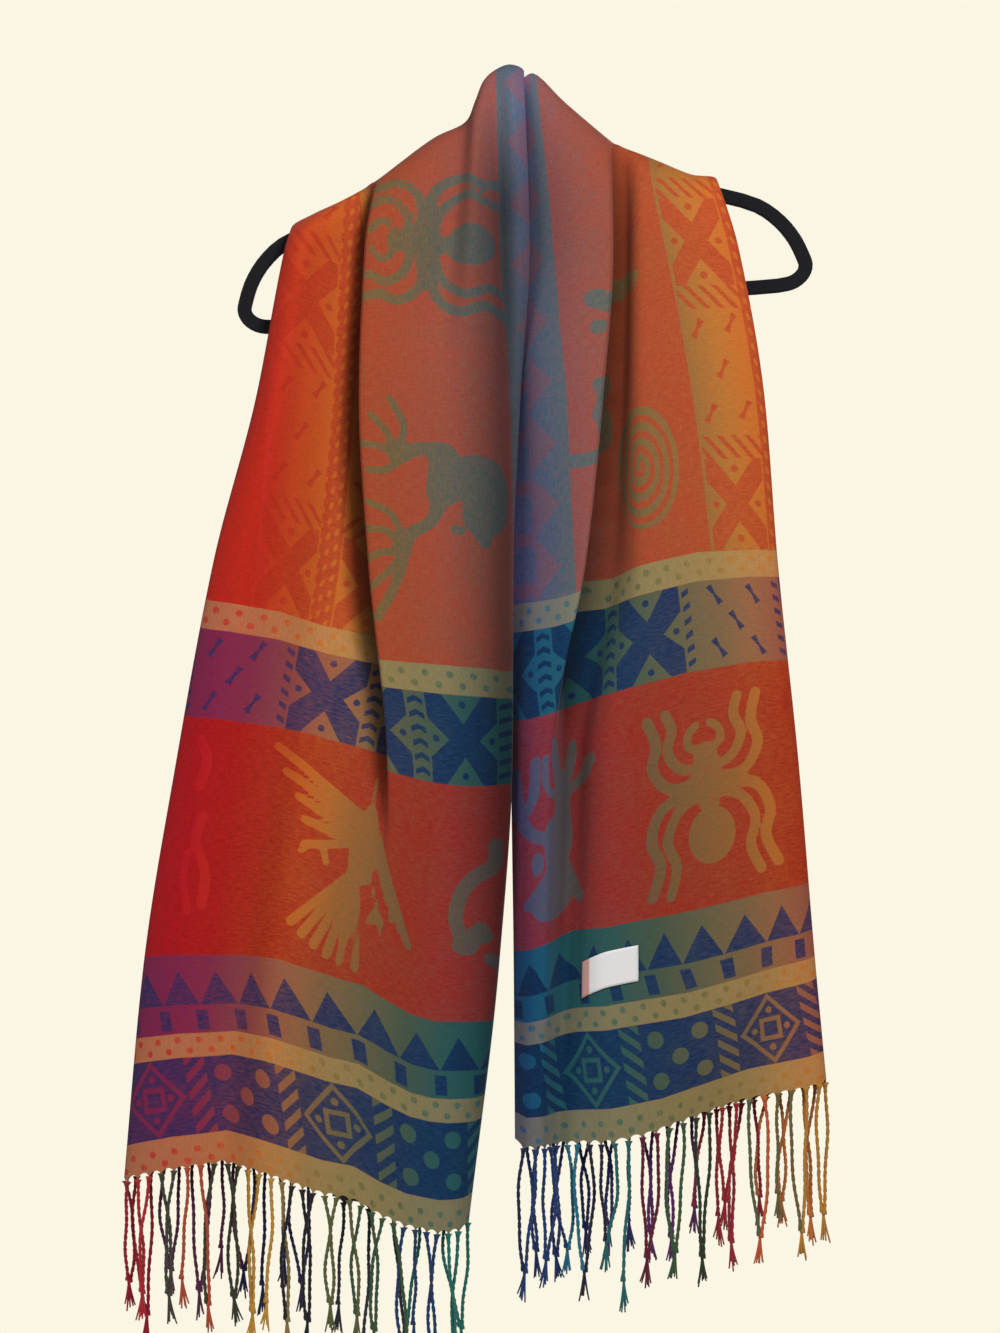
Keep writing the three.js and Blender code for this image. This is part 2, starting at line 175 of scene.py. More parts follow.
def makeStudio():
    scene = bpy.context.scene
    camera = bpy.data.objects.new("camera", bpy.data.cameras.new("camera"))
    scene.collection.objects.link(camera)
    x, y, z = studio["viewCentre"]
    camera.location = (x, y - studio["cameraDistance"], z)
    camera.rotation_euler = (math.pi / 2, 0, 0)
    camera.data.sensor_width = 36
    camera.data.lens = 36 * studio["cameraDistance"] / studio["viewHeight"]
    scene.camera = camera
    scene.view_settings.view_transform = "Standard"

    world = bpy.data.worlds.new("studio")
    scene.world = world
    world.use_nodes = True
    tree = world.node_tree
    shown = tree.nodes["Background"]
    shown.inputs["Color"].default_value = linearColour(studio["backdrop"])
    lit = tree.nodes.new("ShaderNodeBackground")
    lit.inputs["Color"].default_value = linearColour((255, 250, 242))
    lit.inputs["Strength"].default_value = studio["ambient"]
    path = tree.nodes.new("ShaderNodeLightPath")
    mix = tree.nodes.new("ShaderNodeMixShader")
    tree.links.new(path.outputs["Is Camera Ray"], mix.inputs[0])
    tree.links.new(lit.outputs[0], mix.inputs[1])
    tree.links.new(shown.outputs[0], mix.inputs[2])
    tree.links.new(mix.outputs[0], tree.nodes["World Output"].inputs[0])

    for name, place, power, size in (
        ("key", (0.75, -1.6, 0.75), studio["keyPower"], 0.6),
        ("fill", (-1.6, -1.1, -0.35), studio["fillPower"], 0.9),
        ("rear", (0.4, 1.8, 0.5), studio["keyPower"], 1.0),
    ):
        lamp = bpy.data.objects.new(name, bpy.data.lights.new(name, "AREA"))
        scene.collection.objects.link(lamp)
        lamp.data.energy = power
        lamp.data.size = size
        lamp.location = place
        aim = Vector(studio["viewCentre"]) - Vector(place)
        lamp.rotation_euler = aim.to_track_quat("-Z", "Y").to_euler()

    bm = bmesh.new()
    bmesh.ops.create_circle(bm, cap_ends=True, segments=96, radius=0.22)
    for vert in bm.verts:
        vert.co = Vector((vert.co.x * 2.2, vert.co.y - 0.04, studio["floorHeight"]))
    bm.normal_update()
    floor = meshObject("floor", bm)
    plain = Finish("pale floor", {"Base Color": linearColour((236, 232, 220)), "Roughness": 0.7})
    floor.data.materials.append(plain.material)


def meshObject(name, bm):
    mesh = bpy.data.meshes.new(name)
    bm.to_mesh(mesh)
    bm.free()
    made = bpy.data.objects.new(name, mesh)
    bpy.context.scene.collection.objects.link(made)
    mesh.shade_smooth()
    return made


makeStudio()
print("studio made")

# The cloth's folds, in millimetres

foldHeights = (-138, -254, -378, -533, -688)

# Each line runs down the cloth. ridge: where it crosses the shoulder; at: x and y at each of
# foldHeights; hem: its end; bands: the heights of the border's top edge, the red band's top
# and its bottom; across: distance over the cloth from its inner selvedge at the ridge, at
# foldHeights and at the hem, where it is known; crosses: where it runs through the repeats of
# the cross band at the last but two and last but one heights; borders: the same for the lower
# bands at the last height and the hem.
leftFolds = {
    "tuckEnd": {
        "ridge": (3, -4.5, -12), "hem": (-137, -8, -876),
        "at": ((4, -12), (-12, -8), (-26, -8), (-84, -8), (-103, -8)),
        "bands": (-453.8, -540.5, -716.9), "across": (0, 0, 0, 0, 0, 0, 0),
        "crosses": (-66, -106), "borders": (-4, 6),
    },
    "tuckMiddle": {
        "ridge": (7, -5, -8), "hem": (-84, -10, -888),
        "at": ((10, -13), (0, -10), (-10, -10), (-40, -10), (-55, -10)),
        "bands": (-459.2, -546.7, -726.2),
    },
    "innerFold": {
        "ridge": (12.2, -2.2, 3), "hem": (-31, -16, -892),
        "at": ((16.6, -19.2), (9.4, -16.4), (4, -15), (3, -16), (-7, -16)),
        "bands": (-464.2, -551.3, -733.6), "across": (15, 15, 32, 46, 70, 62, 58),
        "crosses": (-20, -18), "borders": (88, 116),
    },
    "stripCrown": {
        "ridge": (2, -1, 7.5), "hem": (-34, -22, -896),
        "at": ((9, -31), (7, -21), (1, -23), (0, -24), (-10, -24)),
        "bands": (-463.9, -551.3, -733.6),
    },
    "groove": {
        "ridge": (-9, -1, 3.6), "hem": (-38, -26, -898),
        "at": ((-6, -21), (1, -26), (-4, -30), (-6, -30), (-14, -29)),
        "bands": (-463.9, -551.3, -733.5), "across": (46, 46, 46, 60, 82, 74, 70),
        "crosses": (-16, -11), "borders": (96, 128),
    },
    "columnEdge": {
        "ridge": (-18, -1, -4.5), "hem": (-45, -30, -899),
        "at": ((-12, -30), (-11, -36), (-14, -37), (-15, -36), (-23, -34)),
        "bands": (-462.3, -552.1, -733.2),
    },
    "columnCrown": {
        "ridge": (-25, 0, -21), "hem": (-55, -34, -899),
        "at": ((-28, -40), (-33, -44), (-33, -43), (-33, -41), (-38, -38)),
        "bands": (-460.8, -552.1, -733.2),
    },
    "neckPleat": {
        "ridge": (-32, 0, -36.5), "hem": (-66, -37, -896),
        "at": ((-44, -27), (-54, -44), (-52, -46), (-51, -43), (-54, -40)),
        "bands": (-459.2, -550.5, -732.7),
    },
    "fieldCrown": {
        "ridge": (-57, 0, -49.5), "hem": (-79, -40, -893),
        "at": ((-76, -36), (-85, -45), (-79, -46), (-72, -43), (-72, -41)),
        "bands": (-457.3, -545.9, -727.8),
    },
    "knifeEdge": {
        "ridge": (-102, 0, -83), "hem": (-99, -42, -884),
        "at": ((-110, -30), (-114, -38), (-107, -40), (-92, -41), (-89, -42)),
        "bands": (-454.6, -539.7, -718.5), "across": (165, 167, 168, 169, 180, 162, 150),
        "crosses": (66, 83), "borders": (168, 200),
    },
    "knifeInside": {
        "ridge": (-106, 0, -85), "hem": (-120, -42, -872),
        "at": ((-65, -24), (-74, -28), (-72, -31), (-87, -33), (-110, -42)),
        "bands": (-449.2, -535.8, -704.6),
    },
    "knifeReturn": {
        "ridge": (-110, 0, -88), "hem": (-144, -40, -868),
        "at": ((-65, -14), (-74, -17), (-72, -21), (-89, -26), (-130, -42)),
        "bands": (-444.5, -532.7, -699.2),
    },
    "valley": {
        "ridge": (-115, 0, -91), "hem": (-190, -18, -856),
        "at": ((-120, -12), (-127, -14), (-139, -14), (-156, -24), (-178, -26)),
        "bands": (-428.3, -511.8, -685.6), "across": (268, 270, 270, 270, 264, 262, 262),
        "crosses": (175, 164), "borders": (251, 298),
    },
    "rise": {
        "ridge": (-130, 0, -99), "hem": (-218, -38, -844),
        "at": ((-141, -22), (-157, -28), (-172, -30), (-184, -34), (-205, -38)),
        "bands": (-418.2, -506.4, -681.7),
    },
    "outerCrown": {
        "ridge": (-151, 0, -109), "hem": (-260, -40, -850),
        "at": ((-159, -30), (-178, -38), (-203, -40), (-228, -41), (-247, -42)),
        "bands": (-412.4, -500.2, -681),
    },
    "outerFold": {
        "ridge": (-167, -2, -118.8), "hem": (-296, -22, -861),
        "at": ((-172, -18), (-194, -22), (-226, -24), (-255, -24), (-280, -24)),
        "bands": (-408.5, -498.3, -684.4), "across": (316, 320, 342, 364, 376, 382, 388),
        "crosses": (255, 271), "borders": (376, 412),
    },
    "backTurn": {
        "ridge": (-163, -5.4, -124), "hem": (-291, -10, -859),
        "at": ((-168, -6.5), (-190, -8), (-221, -9), (-250, -10), (-274, -10)),
        "bands": (-408, -498.7, -684.4),
    },
    "backMiddle": {
        "ridge": (-120, -4.6, -105), "hem": (-214, -8, -838),
        "at": ((-110, -5.4), (-110, -6), (-142, -7), (-172, -8), (-200, -8)),
        "bands": (-413.5, -503.3, -691.4),
    },
    "backEnd": {
        "ridge": (-60, -4.6, -77), "hem": (-150, -7, -856),
        "at": ((-50, -5.4), (-29, -6), (-63, -7), (-110, -7), (-130, -7)),
        "bands": (-418.2, -509.5, -699.2), "across": (540, 540, 540, 540, 540, 540, 540),
        "crosses": (440, 440), "borders": (520, 550),
    },
}
rightFolds = {
    "selvedge": {
        "ridge": (12.6, -4.8, -3), "hem": (6, -17, -830),
        "at": ((8, -5), (6, -7), (2, -6), (3, -6.5), (5, -15)),
        "bands": (-412.8, -502.6, -680.6), "across": (0, 0, 0, 0, 0, 0, 0),
        "crosses": (28, 8), "borders": (14, 0),
    },
    "bandCrown": {
        "ridge": (20, -1, 0.5), "hem": (15, -30, -834.5),
        "at": ((28, -18), (24, -29), (25, -22), (16, -34), (15, -32)),
        "bands": (-410.1, -501, -678.7), "across": (44, 38, 25, 17, 11, 9, 7),
    },
    "neckSlope": {
        "ridge": (44, 0, -21.5), "hem": (20, -32, -834),
        "at": ((54, -30), (48, -35), (44, -32), (24, -40), (22, -37)),
        "bands": (-407.4, -498.3, -676.7), "across": (76, 66, 48, 40, 24, 19, 15),
        "crosses": (80, 38), "borders": (36, 12),
    },
    "knifeEdge": {
        "ridge": (80, 0, -52), "hem": (26, -32, -834),
        "at": ((81, -32), (73, -38), (60, -38), (32, -42), (29, -38)),
        "bands": (-401.9, -495.6, -673.6), "across": (108, 94, 76, 52, 30, 27, 22),
        "crosses": (97, 47), "borders": (48, 18),
    },
    "knifeInside": {
        "ridge": (83, 0, -54), "hem": (32, -24, -833.5),
        "at": ((48, -21), (48, -23), (43, -24), (39, -28), (36, -26)),
        "bands": (-399.6, -494, -670.9),
    },
    "knifeReturn": {
        "ridge": (86, 0, -55), "hem": (39, -17, -833),
        "at": ((48, -14.5), (48, -14), (43, -14), (47, -14), (44, -16)),
        "bands": (-396.5, -492.1, -667.4),
    },
    "valley": {
        "ridge": (90, 0, -57), "hem": (50, -20, -832),
        "at": ((89, -14), (86, -14), (81, -14), (56, -15), (53, -18)),
        "bands": (-392.7, -487.1, -663.9), "across": (193, 174, 148, 123, 87, 77, 66),
        "crosses": (125, 86), "borders": (73, 45),
    },
    "fieldCrown": {
        "ridge": (103, 0, -62), "hem": (81, -40, -828.5),
        "at": ((102, -30), (102, -34), (102, -38), (76, -38), (75, -36)),
        "bands": (-383, -480.1, -661.2),
    },
    "fieldEdge": {
        "ridge": (118, 0, -68), "hem": (110, -42, -821.5),
        "at": ((124, -30), (133, -34), (145, -38), (133, -42), (141, -38)),
        "bands": (-372.8, -465, -648.1), "crosses": (204, 170), "borders": (178, 117),
    },
    "border": {
        "ridge": (143, 0, -78), "hem": (176, -28, -799),
        "at": ((153, -26), (172, -30), (184, -32), (188, -38), (199, -34)),
        "bands": (-370.6, -456.6, -634.1), "crosses": (243, 227), "borders": (232, 190),
    },
    "outerFold": {
        "ridge": (162, -2, -81.5), "hem": (246, -19, -784),
        "at": ((178, -20), (198, -20), (208, -20), (224, -20), (237, -20)),
        "bands": (-370.7, -455.1, -626.8), "across": (270, 270, 270, 270, 270, 270, 270),
        "crosses": (272, 266), "borders": (278, 258),
    },
    "backTurn": {
        "ridge": (157, -6.5, -95), "hem": (240, -8, -786),
        "at": ((173, -7.5), (193, -8), (202, -8), (219, -8), (231, -8)),
        "bands": (-371.8, -456.9, -628.7),
    },
    "backMiddle": {
        "ridge": (110, -4.6, -78), "hem": (153, -7, -808),
        "at": ((118, -6), (130, -6), (133, -6), (141, -7), (149, -7)),
        "bands": (-385.7, -470.8, -645),
    },
    "backEnd": {
        "ridge": (50, -4.6, -58), "hem": (10, -6, -832),
        "at": ((41, -5), (25, -5), (17, -5), (13, -6), (11, -6)),
        "bands": (-412.8, -501.8, -679.8), "across": (540, 540, 540, 540, 540, 540, 540),
        "crosses": (540, 540), "borders": (540, 540),
    },
}

# Distances along the cloth from its hem, at the three band heights and over the shoulder
bandPlaces = (431, 344, 164)
clothWidth = 540
clothLength = 1800


def smoothThrough(zs, values, z, firstSlope=None):
    # a smooth value at z through knots, which never overshoots them
    last = len(zs) - 1

    def secant(i):
        return (values[i + 1] - values[i]) / (zs[i + 1] - zs[i])

    def slope(i):
        if i == 0:
            return secant(0) if firstSlope is None else firstSlope
        if i == last:
            return secant(last - 1)
        before, after = secant(i - 1), secant(i)
        return 0 if before * after <= 0 else 2 * before * after / (before + after)

    i = 0
    while i < last - 1 and z < zs[i + 1]:
        i += 1
    h = zs[i + 1] - zs[i]
    f = (z - zs[i]) / h
    g = 1 - f
    return (
        values[i] * (1 + 2 * f) * g * g
        + values[i + 1] * f * f * (3 - 2 * f)
        + slope(i) * h * f * g * g
        - slope(i + 1) * h * f * f * g
    )


def onFold(fold, down):
    # down is 0 at the ridge, 1 at the first height and 2 at the hem
    ridgeX, ridgeY, ridgeZ = fold["ridge"]
    hemX, hemY, hemZ = fold["hem"]
    zs = [ridgeZ, *foldHeights, hemZ]
    xs = [ridgeX, *(p[0] for p in fold["at"]), hemX]
    ys = [*(p[1] for p in fold["at"]), hemY]
    turn = min(down, 1) * math.pi / 2
    if down < 1:
        z = ridgeZ + (foldHeights[0] - ridgeZ) * (1 - math.cos(turn))
        y = ridgeY + (ys[0] - ridgeY) * math.sin(turn)
    else:
        z = foldHeights[0] + (hemZ - foldHeights[0]) * (down - 1)
        y = smoothThrough(zs[1:], ys, z, 0)
    return smoothThrough(zs, xs, z), y, z


def drapedSurface(folds, downs, steps):
    # points of the cloth, a row for each of downs and a column for each of steps, which count folds
    lines = np.array([[onFold(fold, down) for fold in folds.values()] for down in downs])
    ahead = 2 * lines[:, :1] - lines[:, 1:2]
    beyond = 2 * lines[:, -1:] - lines[:, -2:-1]
    lines = np.concatenate([ahead, lines, beyond], axis=1)
    i = np.minimum(np.floor(steps).astype(int), len(folds) - 2)
    w = (steps - i)[None, :, None]
    p0, p1, p2, p3 = (lines[:, i + k] for k in range(4))

    def gap(a, b):
        return np.maximum(np.sqrt(np.linalg.norm(b - a, axis=2, keepdims=True)), 1e-4)

    d0, d1, d2 = gap(p0, p1), gap(p1, p2), gap(p2, p3)
    t1 = ((p1 - p0) / d0 - (p2 - p0) / (d0 + d1) + (p2 - p1) / d1) * d1
    t2 = ((p2 - p1) / d1 - (p3 - p1) / (d1 + d2) + (p3 - p2) / d2) * d1
    return p1 + t1 * w + (3 * (p2 - p1) - 2 * t1 - t2) * w**2 + (2 * (p1 - p2) + t1 + t2) * w**3


def evenSteps(folds, count, down=1.55):
    # fold counts that lie evenly over the cloth at one height, sparser where it hangs behind
    fine = np.linspace(0, len(folds) - 1, 2001)
    row = drapedSurface(folds, [down], fine)[0]
    front = fine[1:] < list(folds).index("backTurn")
    run = np.cumsum(np.linalg.norm(np.diff(row, axis=0), axis=1) * np.where(front, 1, 0.45))
    run = np.concatenate([[0], run])
    return np.interp(np.linspace(0, run[-1], count), run, fine)


def acrossCloth(folds, points, steps, key="across", heights=(0, 1, 2, 3, 4, 5, 6)):
    # how far each point lies over the cloth, or through a band's repeats, from the anchors of key
    names = list(folds)
    known = [i for i, name in enumerate(names) if key in folds[name]]
    across = np.zeros(points.shape[:2])
    for r, row in enumerate(points):
        run = np.concatenate([[0], np.cumsum(np.linalg.norm(np.diff(row, axis=0), axis=1))])
        anchors = []
        for i in known:
            fold = folds[names[i]]
            zs = [fold["ridge"][2], *foldHeights, fold["hem"][2]]
            z = np.interp(i, steps, row[:, 2])
            anchors.append(np.interp(-z, [-zs[k] for k in heights], fold[key]))
        across[r] = np.interp(run, np.interp(known, steps, run), anchors)
    return across


def alongCloth(folds, points, steps):
    # how far each point lies from the hem
    tops, reds, feet, hems = (
        np.interp(steps, range(len(folds)), values)
        for values in (
            [f["bands"][0] for f in folds.values()],
            [f["bands"][1] for f in folds.values()],
            [f["bands"][2] for f in folds.values()],
            [f["hem"][2] for f in folds.values()],
        )
    )
    along = np.zeros(points.shape[:2])
    for c in range(points.shape[1]):
        z = points[:, c, 2]
        along[:, c] = np.interp(z, [hems[c], feet[c], reds[c], tops[c]], [0, *bandPlaces[::-1]])
        above = z > tops[c]
        steps3 = np.linalg.norm(np.diff(points[:, c], axis=0), axis=1)
        run = np.concatenate([[0], np.cumsum(steps3)])
        start = np.interp(-tops[c], -z, run)
        along[above, c] = bandPlaces[0] + (start - run[above])
    return along


# Woven figures, each a list of strokes (points over and along the cloth, with a half width) and
# of round patches (place, half width, half height, turn)


def strokeField(u, v, strokes, patches):
    # signed distance to the nearest stroke or patch, below 0 inside
    field = np.full(u.shape, 60.0)
    for stroke in strokes:
        for (u0, v0, r0), (u1, v1, r1) in zip(stroke, stroke[1:]):
            du, dv = u1 - u0, v1 - v0
            share = np.clip(((u - u0) * du + (v - v0) * dv) / (du * du + dv * dv), 0, 1)
            distance = np.hypot(u - u0 - share * du, v - v0 - share * dv)
            field = np.minimum(field, distance - (r0 + (r1 - r0) * share))
    for u0, v0, wide, high, turn in patches:
        a = math.radians(turn)
        x = (u - u0) * math.cos(a) + (v - v0) * math.sin(a)
        y = (v - v0) * math.cos(a) - (u - u0) * math.sin(a)
        field = np.minimum(field, (np.hypot(x / wide, y / high) - 1) * min(wide, high))
    return field


def line(radius, *points):
    return [(x, y, radius) for x, y in points]


def bothSides(strokes):
    return strokes + [[(-x, y, r) for x, y, r in stroke] for stroke in strokes]


def rounded(stroke):
    # the stroke led smoothly through its points
    points = [np.array(p, dtype=float) for p in (stroke[0], *stroke, stroke[-1])]
    smooth = []
    for p0, p1, p2, p3 in zip(points, points[1:], points[2:], points[3:]):
        for t in (0, 0.25, 0.5, 0.75):
            bend = (2 * p0 - 5 * p1 + 4 * p2 - p3) * t**2 + (3 * p1 - p0 - 3 * p2 + p3) * t**3
            smooth.append((2 * p1 + (p2 - p0) * t + bend) / 2)
    return [*smooth, points[-1]]


def placed(drawing, centre, size, angle=0.0, stretch=1.0, flip=1):
    # a drawing in its own units set on the cloth; stretch widens it before it is turned
    a = math.radians(angle)

    def spot(x, y):
        x *= stretch
        out = flip * size * (x * math.cos(a) - y * math.sin(a))
        return centre[0] + out, centre[1] + size * (x * math.sin(a) + y * math.cos(a))

    strokes = [[(*spot(x, y), size * r) for x, y, r in rounded(stroke)] for stroke in drawing["strokes"]]
    patches = [
        (*spot(x, y), size * wide, size * high, flip * (turn + angle))
        for x, y, wide, high, turn in drawing["patches"]
    ]
    return strokes, patches


spider = {
    "strokes": [
        *bothSides([
            line(0.06, (0.1, 0.16), (0.42, 0.16), (0.6, 0.42), (0.54, 0.7), (0.62, 0.98)),
            line(0.056, (0.08, 0.28), (0.3, 0.36), (0.42, 0.58), (0.35, 0.8), (0.41, 1.0)),
            line(0.062, (0.1, 0.08), (0.52, -0.02), (0.68, -0.34), (0.6, -0.64), (0.72, -0.96)),
            line(0.056, (0.08, 0.0), (0.34, -0.1), (0.5, -0.4), (0.42, -0.7), (0.52, -1.0)),
            line(0.045, (0.05, 0.5), (0.18, 0.56), (0.17, 0.7), (0.08, 0.78)),
        ]),
        [(0, 0.45, 0.13), (0, 0.12, 0.16), (0, -0.2, 0.08)],
    ],
    "patches": [(0, -0.46, 0.26, 0.31, 0)],
}
tailAngles = [math.radians(-133 + 8.2 * k) for k in range(6)]
bird = {
    "strokes": [
        line(0.018, (0.15, 0.74), (0.11, 0.44)),
        [(0.1, 0.4, 0.05), (0.08, 0.22, 0.1), (0.02, 0.0, 0.14), (-0.04, -0.25, 0.1)],
        *[
            [(0.04 - 0.04 * k, 0.26 - 0.07 * k, 0.07), (x, y, 0.042)]
            for k, (x, y) in enumerate(((-0.84, 0.8), (-0.76, 0.56), (-0.64, 0.33), (-0.58, 0.12)))
        ],
        line(0.042, (-0.1, 0.02), (-0.34, -0.06), (-0.58, -0.12)),
        line(0.035, (-0.4, -0.08), (-0.36, -0.24)),
        line(0.03, (-0.54, -0.12), (-0.62, -0.2)),
        *[
            [(-0.04, -0.2, 0.03), (-0.04 + math.cos(a), -0.2 + math.sin(a), 0.046)]
            for a in tailAngles
        ],
        [(0.12, 0.18, 0.09), (0.26, -0.18, 0.06), (0.46, -0.7, 0.035)],
        line(0.026, (0.2, 0.0), (0.3, -0.3), (0.38, -0.6)),
        line(0.026, (0.15, -0.02), (0.23, -0.28), (0.31, -0.54)),
        line(0.024, (0.07, -0.22), (0.14, -0.45), (0.18, -0.6)),
        line(0.024, (0.15, -0.56), (0.07, -0.68)),
        line(0.024, (0.17, -0.58), (0.2, -0.78)),
    ],
    "patches": [(0.15, -0.6, 0.07, 0.07, 0)],
}
raisedHands = {
    "strokes": [
        [(0.03, 0.12, 0.13), (0.03, -0.1, 0.14), (0.0, -0.35, 0.11), (-0.04, -0.62, 0.2)],
        [(-0.02, -0.35, 0.08), (-0.26, -0.6, 0.06)],
        [(0.06, -0.3, 0.08), (0.24, -0.7, 0.05)],
        [(-0.02, 0.0, 0.07), (-0.24, 0.12, 0.06), (-0.36, 0.35, 0.07), (-0.4, 0.76, 0.05)],
        line(0.055, (-0.33, 0.32), (-0.22, 0.5), (-0.2, 0.84)),
        [(0.05, 0.1, 0.1), (0.07, 0.3, 0.08), (0.06, 0.5, 0.08)],
        [(0.04, 0.5, 0.05), (0.0, 0.75, 0.04), (-0.02, 1.02, 0.02)],
        [(0.08, 0.5, 0.06), (0.15, 0.72, 0.06), (0.17, 0.9, 0.045)],
        line(0.055, (0.1, 0.42), (0.26, 0.5), (0.35, 0.68)),
        line(0.03, (-0.04, 0.45), (-0.1, 0.6), (-0.1, 0.86)),
    ],
    "patches": [(-0.18, -0.2, 0.06, 0.12, 0)],
}
reachingHands = {
    "strokes": [
        [(-0.06, 0.4, 0.09), (0.05, 0.3, 0.16), (0.02, 0.0, 0.16)],
        [(0.1, 0.1, 0.2), (0.42, 0.16, 0.22), (0.44, -0.2, 0.22)],
        [(0.42, -0.3, 0.14), (0.45, -0.5, 0.04)],
        [(0.0, 0.42, 0.07), (-0.25, 0.4, 0.07), (-0.42, 0.33, 0.1)],
        [(0.0, -0.05, 0.1), (-0.08, -0.3, 0.06), (-0.3, -0.45, 0.07), (-0.38, -0.62, 0.1)],
        line(0.036, (-0.4, 0.4), (-0.36, 0.64), (-0.5, 0.9)),
        line(0.036, (-0.44, 0.38), (-0.54, 0.58), (-0.7, 0.74)),
        line(0.036, (-0.44, 0.34), (-0.6, 0.42), (-0.8, 0.43)),
        line(0.036, (-0.44, 0.26), (-0.54, 0.18), (-0.72, 0.18)),
        line(0.036, (-0.36, -0.5), (-0.48, -0.26), (-0.72, -0.14)),
        line(0.036, (-0.4, -0.56), (-0.54, -0.42), (-0.76, -0.42)),
        line(0.036, (-0.4, -0.64), (-0.58, -0.64), (-0.74, -0.74)),
        line(0.036, (-0.4, -0.7), (-0.54, -0.86), (-0.7, -1.02)),
        line(0.05, (-0.36, -0.72), (-0.46, -1.0), (-0.62, -1.3)),
    ],
    "patches": [(0.18, -0.37, 0.08, 0.05, 0)],
}
hook = {
    "strokes": [
        line(0.075, (0.36, 0.62), (0.34, 0.42), (0.16, 0.32), (0.02, 0.16), (-0.04, -0.1), (0.04, -0.34)),
        line(0.07, (0.04, -0.34), (0.2, -0.2), (0.26, -0.28)),
        line(0.06, (0.3, -0.5), (0.4, -0.56)),
    ],
    "patches": [(0.06, -0.36, 0.14, 0.1, 0)],
}
thinLegs = {
    "strokes": [
        line(0.05, (0.04, 1.0), (0.1, 0.8), (0.02, 0.55)),
        line(0.05, (0.06, 0.25), (-0.02, 0.0), (0.08, -0.3), (0.04, -0.62)),
        line(0.035, (-0.1, -0.1), (-0.14, -0.36), (-0.1, -0.7)),
    ],
    "patches": [],
}
stubs = {
    "strokes": [
        line(0.1, (-0.05, 1.3), (0.16, 1.22), (0.3, 1.26)),
        line(0.07, (0.0, 0.42), (0.06, 0.3), (0.0, 0.1)),
        line(0.07, (-0.35, -0.32), (0.05, -0.3), (0.05, 0.0)),
    ],
    "patches": [(0.0, 1.0, 0.09, 0.08, 0)],
}

# Each panel's figures, placed by their distance to the right of the hook and along the cloth
leftFigures = (
    placed(bird, (-112, 268), 77),
    placed(spider, (-57, 756), 62, 90, 1.25),
    placed(reachingHands, (-52, 564), 77),
    placed(hook, (-37, 250), 77),
    placed(thinLegs, (-238, 250), 77),
)
rightFigures = (
    placed(spider, (154, 249), 69, 5, 0.98),
    placed(raisedHands, (37, 244), 77),
    placed(stubs, (70, 560), 77),
)


def figureField(u, v, figures):
    field = np.full(u.shape, 60.0)
    for strokes, patches in figures:
        field = np.minimum(field, strokeField(u, v, strokes, patches))
    return field


cloth = {
    "thickness": 0.9,
    "rows": 280,
    "ridgeRows": 34,
    "columns": 176,
    "repeatChange": 254,  # along the cloth, in the plain red band
    # depthGrid, depthSlope and depthFull set the painted shade in the fold hollows
    "depthGrid": (184, 194),
    "depthSlope": 3.6,
    "depthFull": 20,
}


def gridPiece(name, points, attributes, thickness):
    # a sheet of points, given a thickness
    rows, columns = points.shape[:2]
    bm = bmesh.new()
    bmesh.ops.create_grid(bm, x_segments=columns - 1, y_segments=rows - 1, size=1)
    made = meshObject(name, bm)
    mesh = made.data
    flat = np.empty(len(mesh.vertices) * 3)
    mesh.vertices.foreach_get("co", flat)
    place = (flat.reshape(-1, 3) + 1) / 2
    j = np.rint(place[:, 0] * (columns - 1)).astype(int)
    i = np.rint(place[:, 1] * (rows - 1)).astype(int)
    mesh.vertices.foreach_set("co", (points[i, j] * mm).ravel())
    for label, values in attributes.items():
        layer = mesh.attributes.new(label, "FLOAT", "POINT")
        layer.data.foreach_set("value", values[i, j].astype(np.float32))
    mesh.update()
    wall = made.modifiers.new("wall", "SOLIDIFY")
    wall.thickness = thickness * mm
    wall.offset = 0
    return made


def clothPanel(folds):
    # where the points of one panel lie, and how far over and along the cloth they are
    steps = evenSteps(folds, cloth["columns"])
    over = np.linspace(0, 1, cloth["ridgeRows"], endpoint=False)
    hanging = np.linspace(1, 2, cloth["rows"] - cloth["ridgeRows"])
    points = drapedSurface(folds, np.concatenate([over, hanging]), steps)
    along = alongCloth(folds, points, steps)
    crosses = acrossCloth(folds, points, steps, "crosses", (3, 4))
    borders = acrossCloth(folds, points, steps, "borders", (5, 6))
    return {
        "steps": steps,
        "points": points,
        "across": acrossCloth(folds, points, steps),
        "along": along,
        "repeat": np.where(along > cloth["repeatChange"], crosses, borders),
        "front": steps[None, :] < list(folds).index("outerFold") + 0.3,
        "paintedGapShade": paintedGapShade(points),
    }


def paintedGapShade(points):
    # painted shade towards the gap where the two ends meet, from 0 to 1, growing over the top 100 mm and strongest
    # beside the middle, more on the left end
    x = points[:, :, 0]
    below = np.clip((-20 - points[:, :, 2]) / 80, 0, 1)
    leftSide = np.clip((x + 52) / 46, 0, 1) ** 1.4 * 0.85
    rightSide = np.clip((66 - x) / 60, 0, 1) * 0.55
    return np.where(x < 3, leftSide, rightSide) * below


def frontmost(panels):
    # how far forward the nearest cloth lies, on a grid over the width and height
    high = np.full(cloth["depthGrid"], 60.0)
    for panel in panels:
        i, j = depthCells(panel["points"])
        np.minimum.at(high, (i, j), panel["points"][:, :, 1])
    return high


def depthCells(points):
    rows, columns = cloth["depthGrid"]
    i = np.clip((-points[:, :, 2] / 920 * rows).astype(int), 0, rows - 1)
    j = np.clip(((points[:, :, 0] + 310) / 580 * columns).astype(int), 0, columns - 1)
    return i, j


